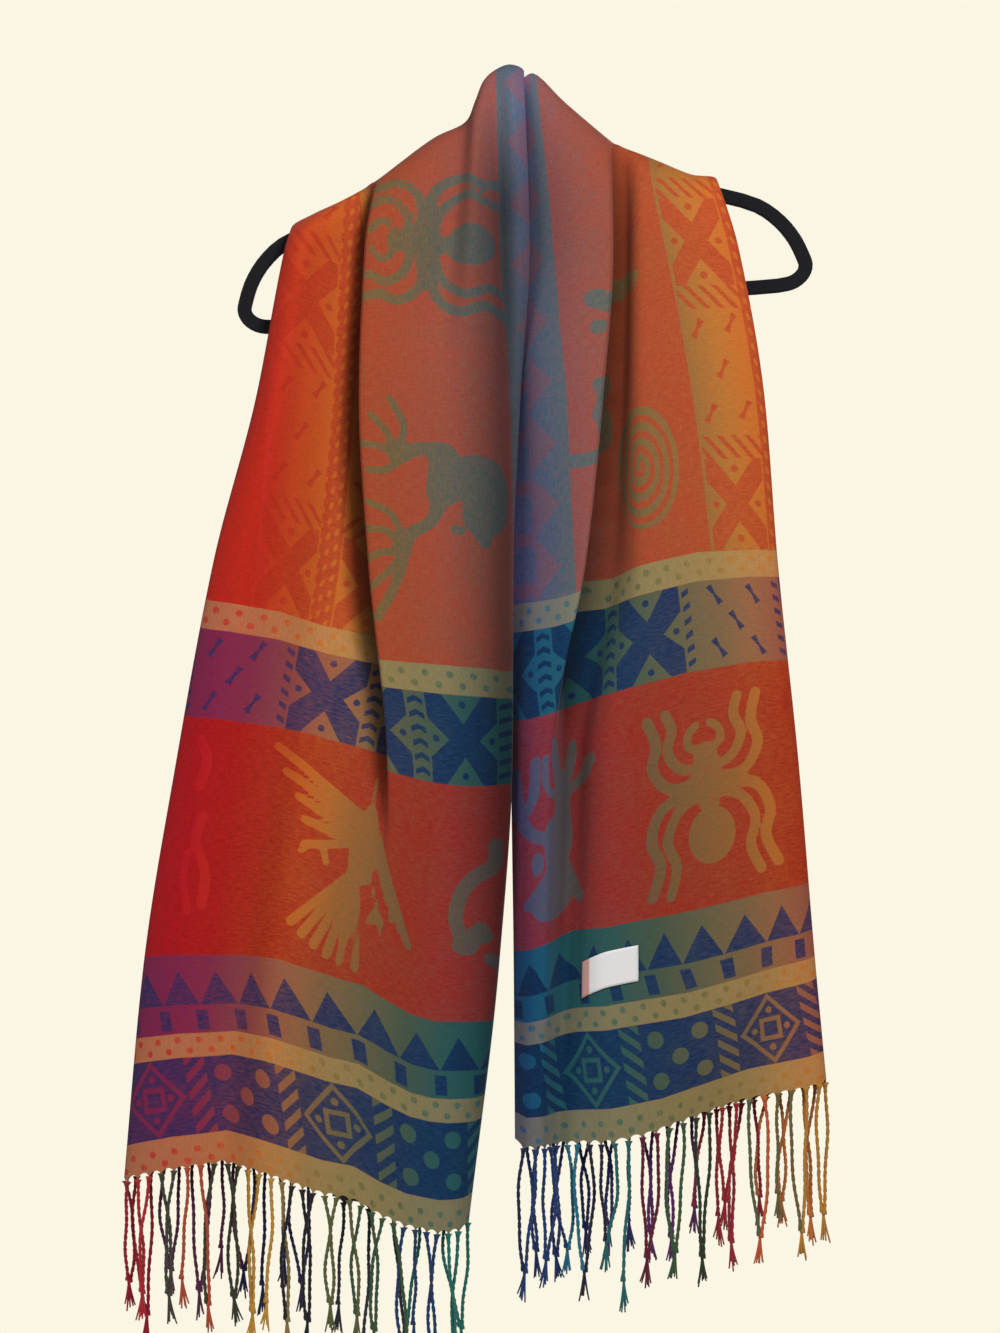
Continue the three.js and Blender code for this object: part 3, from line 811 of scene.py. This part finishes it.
def paintedFoldShade(panel, high):
    # painted shade for each point, from 0 in the open to 1: darker the deeper it lies between the folds beside it,
    # and near the gap between the ends, kept to the front layers
    i, j = depthCells(panel["points"])
    rows, columns = cloth["depthGrid"]
    deepest = np.zeros(i.shape)
    for shift in range(-9, 10):
        beside = high[i, np.clip(j + shift, 0, columns - 1)]
        rise = panel["points"][:, :, 1] - beside - abs(shift) * cloth["depthSlope"]
        deepest = np.maximum(deepest, rise)
    depth = np.clip(deepest / cloth["depthFull"], 0, 1)
    depth = np.maximum(depth, panel["paintedGapShade"]) * panel["front"]
    for axis in (0, 1, 0, 1, 0):
        depth = (np.roll(depth, 1, axis) + 2 * depth + np.roll(depth, -1, axis)) / 4
    return depth


def makePanel(name, panel, figures, high, spiralShown):
    figure = figureField(panel["points"][:, :, 0], panel["along"], figures)
    attributes = {
        "across": panel["across"],
        "along": panel["along"],
        "repeat": panel["repeat"],
        "figure": np.where(panel["front"], figure, 60.0),
        "shelter": paintedFoldShade(panel, high),
        "spiralShown": np.full(panel["along"].shape, float(spiralShown)),
    }
    return gridPiece(name, panel["points"], attributes, cloth["thickness"])


leftCloth = clothPanel(leftFolds)
rightCloth = clothPanel(rightFolds)
high = frontmost((leftCloth, rightCloth))
leftPanel = makePanel("left_front_cloth", leftCloth, leftFigures, high, False)
rightPanel = makePanel("right_front_cloth", rightCloth, rightFigures, high, True)
print("cloth panels made")

# The stretch behind the hanger, which hangs in swags from one shoulder to the other

behind = {
    "leftFolds": (5.3, 15), "rightFolds": (1.5, 10),
    "collarSag": 24, "swagSag": 102, "stand": 8.2, "belly": 12,
    "swags": 3.5, "swagDepth": 6, "turnOver": 0.05, "gap": 1.2,
    "rows": 90, "columns": 110,
}


def backStretch():
    downs = np.linspace(0, 1, behind["rows"])
    left = drapedSurface(leftFolds, [0], np.interp(downs, (0, 1), behind["leftFolds"]))[0]
    right = drapedSurface(rightFolds, [0], np.interp(downs, (0, 1), behind["rightFolds"]))[0]
    over = (1 - np.cos(np.linspace(0, math.pi, behind["columns"]))) / 2
    down = downs[:, None]
    middle = np.sin(math.pi * over)[None, :]
    nearArm = np.minimum(1, np.minimum(over, 1 - over) / behind["turnOver"])
    turn = np.sqrt(1 - (1 - nearArm) ** 2)[None, :]
    swag = np.cos(2 * math.pi * behind["swags"] * down) * behind["swagDepth"] * middle
    sag = behind["collarSag"] + (behind["swagSag"] - behind["collarSag"]) * down**0.9
    points = left[:, None] * (1 - over)[None, :, None] + right[:, None] * over[None, :, None]
    points[:, :, 2] -= sag * 4 * (over * (1 - over))[None, :]
    points[:, :, 1] = behind["gap"] + (behind["stand"] + behind["belly"] * middle) * turn + swag
    across = np.repeat(60 + 270 * down, behind["columns"], axis=1)
    along = np.repeat(800 + 230 * over[None, :], behind["rows"], axis=0)
    plain = np.zeros(across.shape)
    attributes = {"across": across, "along": along, "repeat": across, "figure": plain + 60, "shelter": plain}
    return gridPiece("cloth_behind_hanger", points, attributes, cloth["thickness"])


backPanel = backStretch()
print("back stretch made")

# The fringe's measures, which the weave's scalloped hem shares

fringeLook = {
    "pitch": 10.8, "archHeight": 5, "radius": 1.3, "sides": 7, "rings": 44, "twists": 14,
    "drop": (70, 108),  # from the hem to the knot where two cords meet
    "tassel": 20, "tasselStrands": 6,
}

# The woven pattern: a rainbow warp that shows in the figures, and a weft for each band

weave = {
    "warp": (
        (0, (18, 98, 166)), (20, (34, 114, 152)), (45, (42, 112, 124)), (75, (44, 107, 104)),
        (110, (55, 101, 87)), (145, (86, 102, 68)), (180, (118, 110, 64)), (215, (150, 116, 58)),
        (240, (192, 126, 52)), (262, (210, 118, 42)), (290, (206, 88, 32)), (320, (200, 46, 28)),
        (350, (192, 20, 34)), (395, (172, 26, 40)), (430, (104, 34, 76)), (490, (42, 46, 110)),
        (540, (20, 70, 132)),
    ),
    "brick": (184, 62, 36),
    "flame": (188, 38, 14),  # the same weft where it crosses the red warp
    "red": (168, 14, 20),
    "navy": (4, 42, 92),
    "gold": (177, 147, 98),
    "groundShare": 0.24,
    "goldShare": 0.5,
    "figureShare": 0.15,
    # painted shade: how much the baked fold-hollow value darkens the weave
    "paintedShadeDark": 0.8,
    "spiralPlace": (166, 508),
    "spiralSize": (30, 49),
}


def diamondBand(u, v):
    # diamonds, slanted dashes and groups of five spots on navy
    x = signedFromNearest(u, 75, 150)
    y = v - 57.5
    ax, ay = abs(x), abs(y)
    outline = abs(ax * (19.4 / 26) + ay * (19.4 / 29) - 17.8) - 1.7
    square = abs(most(ax, ay) - 7.6) - 1.8
    spots = least(length2(ax - 14, y) - 2.6, length2(x, ay - 15.5) - 2.8)
    dash = fromNearest(y + x * 0.9, 0, 13) - 3.2
    dashes = most(dash, abs(ax - 36.5) - 8)
    five = least(length2(ax - 57, ay - 16) - 6.6, length2(ax - 75, y) - 6.6)
    return inside(least(least(least(outline, square), spots), least(dashes, five)))


def crossBand(u, v):
    # bold crosses with spotted triangles between their arms, and cells of small bolts
    y = v - 377
    bolts = most(between(u, 192.5, 261.5), between(u, 331, 400.5))
    x = signedFromNearest(u, 18.8, 69.4)
    ax, ay = abs(x), abs(y)
    topTriangle = ax - (ay - 12) * 0.72
    sideTriangle = ay - (ax - 12) * 0.95
    body = most(ax - 27, 0 - least(topTriangle, sideTriangle))
    spot = least(length2(x, ay - 26) - 2.6, length2(ax - 22, y) - 2.6)
    dashes = most(fromNearest(y - ax * 0.5, 0, 10.5) - 2.1, 29 - ax)
    woven = inside(least(least(body, spot), dashes))
    small = inside(boltDistance(0 - x, y, ((-17, 20), (14, 22), (-1, 1), (-17, -20), (15, -18))))
    return 1 - (woven * (1 - bolts) + small * bolts)


def boltDistance(x, y, places):
    # small slanted bolts, narrow in the middle
    nearest = None
    for cx, cy in places:
        run = abs((x - cx) * 0.5 + (y - cy) * 0.87)
        off = abs((x - cx) * 0.87 - (y - cy) * 0.5)
        bolt = most(run - 8, off - 1 - run * 0.2)
        nearest = bolt if nearest is None else least(nearest, bolt)
    return nearest


def sideBorder(u, v):
    # the border up each side of the field: crosses and bolts in turn, 190 mm apart
    x = u - 238.5
    y = signedFromNearest(v, 467, 205)
    ax, ay = abs(x), abs(y)
    topTriangle = ax - (ay - 14) * 0.75
    sideTriangle = ay - (ax - 9) * 1.35
    body = most(most(ay - 35, ax - 22.5), 0 - least(topTriangle, sideTriangle))
    spot = least(length2(x, ay - 27) - 3, length2(ax - 17, y) - 2.6)
    dashes = most(abs(ay - 44) - 9, fromNearest(x + y * 0.8, 0, 11) - 2.2)
    cell = signedFromNearest(v, 467 + 102.5, 205)
    bolts = boltDistance(x, cell, ((-13, 34), (13, 38), (1, 2), (-13, -32), (14, -30)))
    return 1 - inside(least(least(body, spot), least(dashes, bolts)))


def spotStrip(u, v, middle):
    # two staggered rows of small spots
    low = length2(fromNearest(u, 0, 17), v - (middle - 4)) - 2.5
    high = length2(fromNearest(u, 8.5, 17), v - (middle + 4)) - 2.5
    return inside(least(low, high))


def spiral(u, v):
    # an oval spiral of four close turns
    x = (u - weave["spiralPlace"][0]) / weave["spiralSize"][0]
    y = (v - weave["spiralPlace"][1]) / weave["spiralSize"][1]
    reach = length2(x, y)
    turn = x.join("ARCTAN2", y, x) / (2 * math.pi)
    stroke = x.join("PINGPONG", reach * 4 + turn + 0.25, 0.5)
    return inside(stroke - 0.29, 0.12) * inside(reach - 1.02, 0.03)


def makeWeave(name):
    finish = Finish(name, {"Roughness": 0.85, "Sheen Weight": 0.08, "Sheen Roughness": 0.45, "Specular IOR Level": 0.15})
    u = finish.attribute("across")
    v = finish.attribute("along")
    repeat = finish.attribute("repeat")
    figure = finish.attribute("figure")
    # painted shade baked per point: darker in fold hollows and near the gap between the ends
    shelter = finish.attribute("shelter")
    warp = finish.node(
        "ValToRGB", {"stops": [(place / clothWidth, rgb) for place, rgb in weave["warp"]]}, {0: u / clothWidth}
    )
    mirrored = least(u, clothWidth - u)

    stripMask = between(v, -20, 28) + between(v, 87, 105) + between(v, 410, 431)
    navyMask = between(v, 28, 87) + between(v, 105, 164) + between(v, 344, 410)
    redMask = between(v, 164, 344)
    fieldMask = inside(431 - v)

    stripShown = least(stripMask, spotStrip(repeat, v, 13) + spotStrip(repeat, v, 96) + spotStrip(repeat, v, 420.5))
    diamonds = between(v, 28, 87) * diamondBand(repeat, v)
    blocks = most(fromNearest(repeat, 15.5, 31) - 4.7, abs(v - 115) - 7.5)
    triangleAcross = fromNearest(repeat, 0, 31)
    triangles = most(triangleAcross * (26 / 15.5) + v - 152, 126.5 - v)
    lower = between(v, 105, 164) * (1 - inside(least(blocks, triangles)))
    crosses = between(v, 344, 410) * crossBand(repeat, v)

    # the field between its side borders, and the narrow rows inside the selvedges
    selvedgeBlocks = between(mirrored, -9, 14.5) * (1 - inside(fromNearest(v, 0, 40) - 5.5))
    selvedgeTriangles = between(mirrored, 15.5, 46) * (
        1 - inside(fromNearest(v, 24, 48) * (22 / 23) + mirrored - 37)
    )
    border = between(mirrored, 215, 262) * sideBorder(mirrored, v)
    thinLine = between(mirrored, 213.4, 215.4)
    centreSpots = between(mirrored, 262, 271) * inside(
        length2(fromNearest(v + u * 0.9, 0, 12) * 0.6, fromNearest(u, 266, 6)) - 1.6
    )
    beasts = most(inside(figure), spiral(u, v) * finish.attribute("spiralShown"))
    fieldShown = selvedgeBlocks + selvedgeTriangles + border + thinLine + centreSpots
    openField = between(mirrored, 46, 213.4)
    shown = (
        stripShown + diamonds + lower + crosses + redMask * beasts + fieldMask * (fieldShown + openField * beasts)
    )

    outer = finish.node("MapRange", {}, {0: u, 1: 262.0, 2: 330.0, 3: 0.0, 4: 1.0})
    inner = finish.node("MapRange", {}, {0: u, 1: 60.0, 2: 160.0, 3: 1.0, 4: 0.0})
    ground = finish.mix(linearColour(weave["brick"]), linearColour(weave["flame"]), outer)
    ground = finish.mix(ground, linearColour(weave["red"]), redMask)
    ground = finish.mix(ground, linearColour(weave["navy"]), navyMask)
    ground = finish.mix(ground, linearColour(weave["gold"]), stripMask)

    # brushed yarn: the two colours mix unevenly, in short streaks both ways
    place = finish.node("CombineXYZ", {}, {0: u * mm, 1: v * mm, 2: 0.0})
    weftStreaks = finish.node("VectorMath", {"operation": "MULTIPLY"}, {0: place, 1: (0.35, 1.5, 1)})
    warpStreaks = finish.node("VectorMath", {"operation": "MULTIPLY"}, {0: place, 1: (1.5, 0.35, 1)})
    streak = finish.noise(weftStreaks, 420, 3, 0.65) - 0.5
    twill = finish.noise(warpStreaks, 420, 3, 0.65) - 0.5
    cloudy = finish.noise(place, 28, 2) - 0.5
    plainShare = weave["groundShare"] + (weave["goldShare"] - weave["groundShare"]) * stripMask
    plainShare = plainShare - navyMask * 0.1 + fieldMask * (between(mirrored, -20, 46) * 0.2 + inner * 0.16)
    groundShare = plainShare + streak * 0.5 + cloudy * 0.2
    dusky = finish.node("MapRange", {}, {0: u, 1: 205.0, 2: 300.0, 3: 0.1, 4: 0.42})
    figureShare = weave["figureShare"] + redMask * 0.12 + fieldMask * 0.06 + navyMask * dusky + twill * 0.5
    groundColour = finish.mix(ground, warp, most(groundShare, 0.0))
    figureColour = finish.mix(warp, ground, most(figureShare, 0.0))
    colour = finish.mix(groundColour, figureColour, shown)
    # painted shade: the baked value read above darkens the colour in fold hollows and near the gap between the ends;
    # the streak and twill noise is the yarn's own tone
    shade = (1 + (streak + twill) * 0.45) * (1 - shelter * weave["paintedShadeDark"])
    shadeColour = finish.node("CombineColor", {}, {0: shade, 1: shade, 2: shade})
    colour = finish.mix(colour, shadeColour, 1.0, "MULTIPLY")
    finish.feed("Base Color", colour)
    finish.feedBump(streak + twill, 0.35, 0.0004)

    # between two cords the hem is gathered up in a small arch
    pitch = fringeLook["pitch"]
    arch = 1 - fromNearest(u, 0, pitch) / (pitch / 2)
    height = arch.join("SQRT", most(1 - (1 - arch) * (1 - arch), 0.0), 0.0) * fringeLook["archHeight"]
    finish.feed("Alpha", 1 - inside(v - height, 0.4))
    return finish.material


weaveFinish = makeWeave("jacquard weave")
for panel, node, slot in (
    (leftPanel, "left_front", "cloth_left"),
    (rightPanel, "right_front", "cloth_right"),
    (backPanel, "back_stretch", "cloth_back"),
):
    panel.data.materials.append(weaveFinish)
    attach(panel, "root")
    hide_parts(node)
print("weave made")

# Fringe: twisted cords that hang from the points of the hem, tied in pairs

leftDyes = (
    (0, (45, 50, 60)), (60, (25, 120, 110)), (110, (20, 60, 110)), (150, (60, 90, 60)), (185, (100, 105, 60)),
    (215, (30, 28, 36)), (235, (150, 125, 70)), (270, (215, 160, 60)), (295, (60, 60, 40)), (320, (190, 80, 50)),
    (345, (70, 70, 60)), (370, (190, 40, 50)), (400, (170, 20, 50)), (450, (90, 30, 70)), (540, (40, 40, 90)),
)
rightDyes = (
    (0, (25, 35, 75)), (35, (25, 60, 120)), (70, (30, 120, 150)), (90, (35, 30, 60)), (110, (30, 110, 110)),
    (135, (110, 20, 50)), (150, (60, 95, 60)), (175, (45, 60, 35)), (190, (165, 30, 40)), (205, (95, 105, 70)),
    (225, (215, 95, 45)), (240, (120, 105, 60)), (258, (200, 140, 50)), (300, (215, 130, 60)), (360, (170, 40, 60)),
    (420, (100, 40, 110)), (480, (40, 45, 110)), (540, (30, 60, 120)),
)


def scatter(n, salt):
    value = math.sin(n * 12.9898 + salt * 78.233) * 43758.5453
    return value - math.floor(value)


def nearestDye(dyes, u):
    return min(dyes, key=lambda dye: abs(dye[0] - u))[1]


def addTube(bm, layer, path, radii, colour, sides):
    # a tube along path, whose radii are given at each ring and angle
    grid = bmesh.ops.create_grid(bm, x_segments=sides, y_segments=len(path) - 1, size=1)
    for vert in grid["verts"]:
        angle = math.pi * (vert.co.x + 1)
        ring = round((vert.co.y + 1) / 2 * (len(path) - 1))
        x, y, z = path[ring]
        radius = radii(ring / (len(path) - 1), angle)
        vert.co = Vector((x + radius * math.cos(angle), y + radius * math.sin(angle), z)) * mm
        vert[layer] = colour


def addCord(bm, layer, root, knot, bow, number, colour):
    # one twisted cord from its root to the knot, bowed to one side
    look = fringeLook
    path = []
    for ring in range(look["rings"] + 1):
        share = ring / look["rings"]
        ease = share * share * (3 - 2 * share)
        sway = bow * math.sin(math.pi * share) + 1.7 * math.sin(share * 9 + number * 2.1) * share * (1 - share) * 2
        path.append((
            root[0] + (knot[0] - root[0]) * ease + sway,
            root[1] + (knot[1] - root[1]) * share,
            root[2] + (knot[2] - root[2]) * share,
        ))

    def radii(share, angle):
        twist = 2 * math.pi * look["twists"] * share
        flare = 1.2 * max(0.0, 1 - share / 0.05)
        knotted = 0.9 * math.exp(-(((share - 0.985) / 0.02) ** 2))
        return look["radius"] * (1 + 0.3 * math.cos(2 * (angle - twist)) + flare + knotted)

    addTube(bm, layer, path, radii, colour, look["sides"])


def addTassel(bm, layer, knot, number, colour):
    # the loose ends below a knot
    look = fringeLook
    for k in range(look["tasselStrands"]):
        spread = (k / (look["tasselStrands"] - 1) - 0.5) * 7 + 2 * (scatter(number, k + 5) - 0.5)
        drop = look["tassel"] * (0.8 + 0.4 * scatter(number, k + 11))
        lean = 5 * (scatter(number, 3) - 0.5)
        path = [
            (knot[0] + (spread + lean) * (f / 7) ** 1.3, knot[1] + (k % 2) * f / 7, knot[2] - drop * f / 7)
            for f in range(8)
        ]
        addTube(bm, layer, path, lambda share, angle: 1.05 - 0.4 * share, colour, 5)


def fringe(name, panel, dyes, salt):
    bm = bmesh.new()
    layer = bm.verts.layers.float_color.new("dye")
    look = fringeLook
    edge, across = panel["points"][-1], panel["across"][-1]
    roots = np.arange(look["pitch"] / 2, across[-1], look["pitch"])
    places = [[np.interp(u, across, edge[:, axis]) for axis in range(3)] for u in roots]
    k = 0
    while k < len(roots):
        number = k + salt
        tied = 1 if scatter(number, 7) < 0.22 else 2
        group = places[k : k + tied]
        low, far = look["drop"]
        drop = low + (far - low) * scatter(number, 1)
        middle = [sum(p[axis] for p in group) / len(group) for axis in range(3)]
        knot = (middle[0] + 8 * (scatter(number, 2) - 0.5), middle[1] + 1.5 * (scatter(number, 4) - 0.5), middle[2] - drop)
        for side, root in enumerate(group):
            colour = linearColour(nearestDye(dyes, roots[k + side] + 16 * (scatter(number + side, 9) - 0.5)))
            bow = (side * 2 - 1) * (0.5 + 5 * scatter(number + side, 6)) if len(group) == 2 else 3 * scatter(number, 8) - 1
            end = (knot[0] + (side - 0.5) * 1.2, knot[1], knot[2] - 1.5 * side)
            addCord(bm, layer, (root[0], root[1], root[2] + 2), end, bow, number + side, colour)
        addTassel(bm, layer, knot, number, colour)
        k += tied
    bmesh.ops.remove_doubles(bm, verts=bm.verts[:], dist=1e-6)
    ends = [e for e in bm.edges if e.is_boundary]
    bmesh.ops.holes_fill(bm, edges=ends, sides=look["sides"])
    bmesh.ops.recalc_face_normals(bm, faces=bm.faces[:])
    return meshObject(name, bm)


def makeYarn():
    finish = Finish("twisted yarn", {"Roughness": 0.8, "Sheen Weight": 0.2, "Specular IOR Level": 0.2})
    dye = finish.attribute("dye", "Color")
    place = finish.node("TexCoord", {}, {}, "Object")
    fuzz = finish.noise(place, 900, 2)
    finish.feed("Base Color", finish.mix(dye, linearColour((20, 18, 24)), fuzz * 0.3))
    finish.feedBump(fuzz, 0.4, 0.0004)
    return finish.material


yarn = makeYarn()
leftFringe = fringe("left_knotted_fringe", leftCloth, leftDyes, 0)
rightFringe = fringe("right_knotted_fringe", rightCloth, rightDyes, 100)
for piece, node, slot in (
    (leftFringe, "left_fringe", "fringe_left"),
    (rightFringe, "right_fringe", "fringe_right"),
):
    piece.data.materials.append(yarn)
    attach(piece, "root")
    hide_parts(node)
print("fringe made")

# The small woven label, left blank

labelLook = {"downs": (1.7945, 1.8346), "rise": 0.016, "folds": (6.3, 7.42), "lift": 1.4, "thickness": 0.4}


def makeLabel():
    rows, columns = 14, 30
    steps = np.linspace(*labelLook["folds"], columns)
    points = np.zeros((rows, columns, 3))
    for j, step in enumerate(steps):
        start = labelLook["downs"][0] - labelLook["rise"] * j / (columns - 1)
        stop = labelLook["downs"][1] - labelLook["rise"] * j / (columns - 1)
        points[:, j] = drapedSurface(rightFolds, np.linspace(start, stop, rows), np.array([step]))[:, 0]
    downward = np.gradient(points, axis=0)
    over = np.gradient(points, axis=1)
    normal = np.cross(downward, over)
    normal /= np.linalg.norm(normal, axis=2, keepdims=True)
    points += normal * labelLook["lift"]
    over = np.repeat(np.linspace(0, 1, columns)[None, :], rows, axis=0)
    made = gridPiece("blank_woven_label", points, {"over": over}, labelLook["thickness"])
    finish = Finish("satin label", {"Roughness": 0.5, "Specular IOR Level": 0.4})
    see = finish.attribute("over")
    # painted reflection: the left quarter of the label is tinted pink, standing in for light thrown on it by the red
    # cloth
    paintedPinkReflection = inside(see - 0.24, 0.04)
    colour = finish.mix(linearColour((244, 243, 242)), linearColour((214, 150, 140)), paintedPinkReflection * 0.9)
    finish.feed("Base Color", colour)
    made.data.materials.append(finish.material)
    return made


labelPiece = makeLabel()
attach(labelPiece, "root")
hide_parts("label")
print("label made")

# The hanger keeps its solids, with finishes of its own


def makeVelvet():
    finish = Finish(
        "black velvet flock",
        {"Roughness": 0.95, "Sheen Weight": 0.35, "Sheen Roughness": 0.35, "Specular IOR Level": 0.15},
    )
    place = finish.node("TexCoord", {}, {}, "Object")
    nap = finish.noise(place, 1500, 3)
    finish.feed("Base Color", finish.mix(linearColour((12, 12, 14)), linearColour((38, 38, 42)), nap))
    finish.feedBump(nap, 0.3, 0.0003)
    return finish.material


def makeSteel(name, rough):
    finish = Finish(name, {"Base Color": linearColour((205, 206, 210)), "Metallic": 1.0})
    place = finish.node("TexCoord", {}, {}, "Object")
    finish.feed("Roughness", rough + finish.noise(place, 600, 2) * 0.12)
    return finish.material


for node, finish in (
    ("hanger_frame", makeVelvet()),
    ("hook_ferrule", makeSteel("satin ferrule", 0.28)),
    ("hook", makeSteel("bright hook", 0.12)),
):
    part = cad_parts[node]
    part.data.materials.clear()
    part.data.materials.append(finish)
print("hanger finished")
